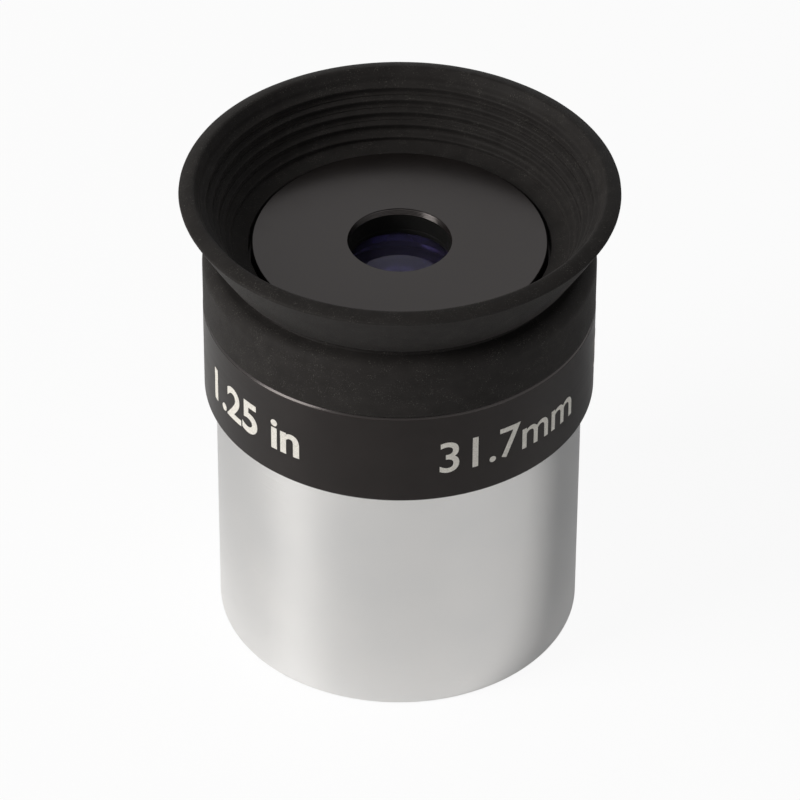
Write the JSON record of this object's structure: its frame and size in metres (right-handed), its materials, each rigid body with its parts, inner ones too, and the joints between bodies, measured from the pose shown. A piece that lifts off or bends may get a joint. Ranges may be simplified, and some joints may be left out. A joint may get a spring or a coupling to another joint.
{
  "type": "telescope eyepiece",
  "caption": "Telescope eyepiece: chromed 31.7 mm push-fit barrel screwed into a black housing with its lens cell, and a flared rubber eyecup that folds down.",
  "frame": {"origin": "centre of the barrel's bottom rim, on the optical axis", "axes": "+Z along the optical axis towards the eye; the object is round, so +X and +Y are free"},
  "size_m": [0.0374, 0.0374, 0.0445],
  "materials": {
    "chrome": "satin chrome plate on brass",
    "anodised_black": "satin black anodised",
    "blackened_metal": "matt blackened",
    "coated_glass": "polished, violet-blue anti-reflection coating",
    "rubber": "matt moulded black rubber"
  },
  "bodies": {
    "barrel": {"barrel": "chrome"},
    "optics": {"eye_flint": "coated_glass", "eye_crown": "coated_glass", "lens_spacer": "blackened_metal", "field_crown": "coated_glass", "field_flint": "coated_glass"},
    "housing": {"housing": "anodised_black", "lens_cell": "blackened_metal", "cell_lock_ring": "blackened_metal", "cell_retainer": "blackened_metal", "field_stop": "blackened_metal", "eyecup_skirt": "rubber", "eyecup_flare": "rubber"},
    "eyecup_rim": {"eyecup_rim": "rubber"}
  },
  "joints": [
    {"name": "housing_rise", "type": "slide", "parent": "barrel", "child": "optics", "axis": [0, 0, 1], "range_m": [0, 0.0045]},
    {"name": "housing_unscrew", "type": "hinge", "parent": "optics", "child": "housing", "pos_m": [0, 0, 0.0265], "axis": [0, 0, 1], "range_deg": [0, 2160]},
    {"name": "eyecup_fold", "type": "slide", "parent": "housing", "child": "eyecup_rim", "axis": [0, 0, -1], "range_m": [0, 0.0095], "deforming": ["eyecup_flare"]}
  ],
  "couplings": [
    {"joint": "housing_rise", "follows": "housing_unscrew", "m_per_rad": 0.00011937}
  ]
}
